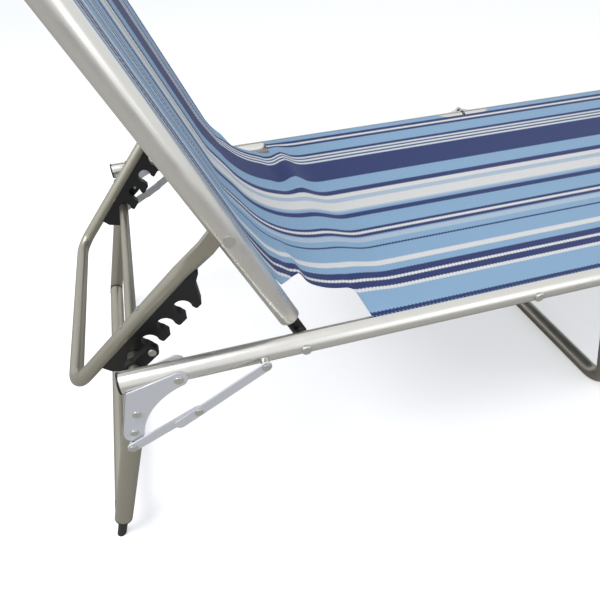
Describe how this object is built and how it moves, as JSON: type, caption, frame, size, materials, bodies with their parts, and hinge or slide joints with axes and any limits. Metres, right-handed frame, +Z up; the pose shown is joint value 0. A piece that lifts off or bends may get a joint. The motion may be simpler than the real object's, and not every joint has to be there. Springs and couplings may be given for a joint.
{
  "type": "folding sun lounger",
  "caption": "Folding tube-framed sun lounger with a striped sling, a tilting backrest propped by a toothed support, and folding legs.",
  "frame": {"origin": "middle of the footprint box, on the floor", "axes": "+X towards the foot end, +Y to the lounger's far side, +Z up"},
  "size_m": [1.5125, 0.6002, 0.9423],
  "materials": {
    "aluminium_tube": "satin drawn tube",
    "leg_tube": "grey-beige powder coat, half gloss",
    "bracket_steel": "light grey powder coat",
    "rivet_steel": "zinc plated",
    "black_plastic": "moulded, fine grain",
    "striped_cloth": "coated mesh cloth with woven stripes in blues and white"
  },
  "bodies": {
    "middle_frame": {"rail_near": "aluminium_tube", "rail_far": "aluminium_tube", "rail_plugs": "black_plastic", "seat_sling": "striped_cloth", "seat_bar": "leg_tube", "seat_bar_hangers": "bracket_steel", "hanger_bolts": "rivet_steel", "backrest_bolts": "rivet_steel", "backrest_spacers": "black_plastic", "middle_leg_bolts": "rivet_steel", "middle_leg_spacers": "black_plastic", "rear_pivot_rivets": "rivet_steel", "stay_rail_pins": "rivet_steel", "fold_plates": "bracket_steel", "fold_plate_rivets": "rivet_steel", "fold_pins": "rivet_steel"},
    "rear_leg_frame": {"rear_legs": "leg_tube", "rear_cross_bar": "leg_tube", "rear_bottom_bar": "leg_tube", "rear_brackets": "bracket_steel", "bracket_rivets": "rivet_steel", "rear_elbows": "black_plastic", "rear_feet": "black_plastic", "rear_top_plugs": "black_plastic", "cross_bar_clips": "black_plastic", "clip_rivets": "rivet_steel", "stay_leg_pins": "rivet_steel"},
    "upper_stay_near": {"stay_upper_near": "bracket_steel", "stay_button_near": "rivet_steel"},
    "upper_stay_far": {"stay_upper_far": "bracket_steel", "stay_button_far": "rivet_steel"},
    "lower_stay_near": {"stay_lower_near": "bracket_steel"},
    "lower_stay_far": {"stay_lower_far": "bracket_steel"},
    "backrest": {"backrest_tube_near": "aluminium_tube", "backrest_tube_far": "aluminium_tube", "backrest_bow": "aluminium_tube", "backrest_joiners": "black_plastic", "back_sling": "striped_cloth", "backrest_inserts": "black_plastic", "support_bolts": "rivet_steel", "support_washers": "black_plastic"},
    "support": {"support_frame": "leg_tube", "support_combs": "black_plastic", "comb_end_hooks": "black_plastic", "comb_rivets": "rivet_steel"},
    "middle_leg_frame": {"middle_leg": "leg_tube"},
    "foot_section": {"foot_rail_near": "aluminium_tube", "foot_rail_far": "aluminium_tube", "foot_bow": "aluminium_tube", "foot_joiners": "black_plastic", "foot_sling": "striped_cloth", "foot_plates": "bracket_steel", "foot_plate_packers": "bracket_steel", "foot_plate_rivets": "rivet_steel", "foot_leg_bolts": "rivet_steel", "foot_leg_spacers": "black_plastic"},
    "foot_leg_frame": {"foot_leg": "leg_tube"}
  },
  "joints": [
    {"name": "backrest_hinge", "type": "hinge", "parent": "middle_frame", "child": "backrest", "pos_m": [-0.44672, 0, 0.307], "axis": [0, 1, 0], "range_deg": [0, 65]},
    {"name": "support_hinge", "type": "hinge", "parent": "backrest", "child": "support", "pos_m": [-0.5113, 0, 0.44239], "axis": [0, 1, 0], "range_deg": [0, 96]},
    {"name": "rear_leg_hinge", "type": "hinge", "parent": "middle_frame", "child": "rear_leg_frame", "pos_m": [-0.59022, 0, 0.307], "axis": [0, -1, 0], "range_deg": [0, 109]},
    {"name": "middle_leg_hinge", "type": "hinge", "parent": "middle_frame", "child": "middle_leg_frame", "pos_m": [-0.00022, 0, 0.307], "axis": [0, 1, 0], "range_deg": [0, 95]},
    {"name": "foot_section_hinge", "type": "hinge", "parent": "middle_frame", "child": "foot_section", "pos_m": [0.06378, 0, 0.317], "axis": [0, -1, 0], "range_deg": [0, 90]},
    {"name": "foot_leg_hinge", "type": "hinge", "parent": "foot_section", "child": "foot_leg_frame", "pos_m": [0.63378, 0, 0.307], "axis": [0, 1, 0], "range_deg": [0, 95]},
    {"name": "upper_stay_hinge_near", "type": "hinge", "parent": "middle_frame", "child": "upper_stay_near", "pos_m": [-0.49522, -0.2955, 0.3043], "axis": [0, -1, 0], "range_deg": [0, 154]},
    {"name": "lower_stay_hinge_near", "type": "hinge", "parent": "rear_leg_frame", "child": "lower_stay_near", "pos_m": [-0.66202, -0.2925, 0.2176], "axis": [0, -1, 0], "range_deg": [-108, 0]},
    {"name": "upper_stay_hinge_far", "type": "hinge", "parent": "middle_frame", "child": "upper_stay_far", "pos_m": [-0.49522, 0.2955, 0.3043], "axis": [0, -1, 0], "range_deg": [0, 154]},
    {"name": "lower_stay_hinge_far", "type": "hinge", "parent": "rear_leg_frame", "child": "lower_stay_far", "pos_m": [-0.66202, 0.2925, 0.2176], "axis": [0, -1, 0], "range_deg": [-108, 0]}
  ],
  "couplings": [
    {"joint": "support_hinge", "follows": "backrest_hinge", "ratio": 1.4615},
    {"joint": "upper_stay_hinge_near", "follows": "rear_leg_hinge", "ratio": 1.4059},
    {"joint": "lower_stay_hinge_near", "follows": "rear_leg_hinge", "ratio": -0.9854},
    {"joint": "upper_stay_hinge_far", "follows": "rear_leg_hinge", "ratio": 1.4059},
    {"joint": "lower_stay_hinge_far", "follows": "rear_leg_hinge", "ratio": -0.9854}
  ]
}
